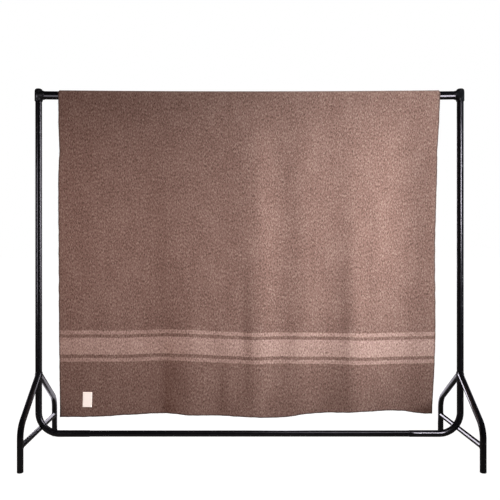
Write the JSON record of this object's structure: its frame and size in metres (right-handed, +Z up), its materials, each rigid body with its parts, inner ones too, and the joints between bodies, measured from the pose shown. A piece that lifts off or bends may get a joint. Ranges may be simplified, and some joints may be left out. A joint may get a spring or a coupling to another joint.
{
  "type": "wool blanket on garment rail",
  "caption": "Brown felted-wool blanket with a light striped border, hung over the top tube of a black steel garment rail with splayed legs.",
  "frame": {"origin": "on the floor, midway between the four feet and below the middle of the top rail", "axes": "+X along the top rail, to the right as seen from the front; -Y to the front, the side of the long fall; +Z up"},
  "size_m": [1.83, 0.503, 1.55],
  "materials": {
    "wool": "heathered brown felted wool with a light band and two thin light stripes near each hem",
    "label_tape": "plain cream woven tape",
    "black_steel": "glossy black powder coat",
    "black_plastic": "satin black"
  },
  "bodies": {
    "root": {"blanket": "wool", "label": "label_tape", "top_rail": "black_steel", "bottom_bar": "black_steel", "corner_fitting_left": "black_plastic", "corner_fitting_right": "black_plastic", "upright_left": "black_steel", "upright_right": "black_steel", "brace_left": "black_steel", "brace_right": "black_steel", "leg_front_left": "black_steel", "leg_front_right": "black_steel", "leg_back_left": "black_steel", "leg_back_right": "black_steel", "foot_plug_front_left": "black_plastic", "foot_plug_front_right": "black_plastic", "foot_plug_back_left": "black_plastic", "foot_plug_back_right": "black_plastic"}
  },
  "joints": []
}
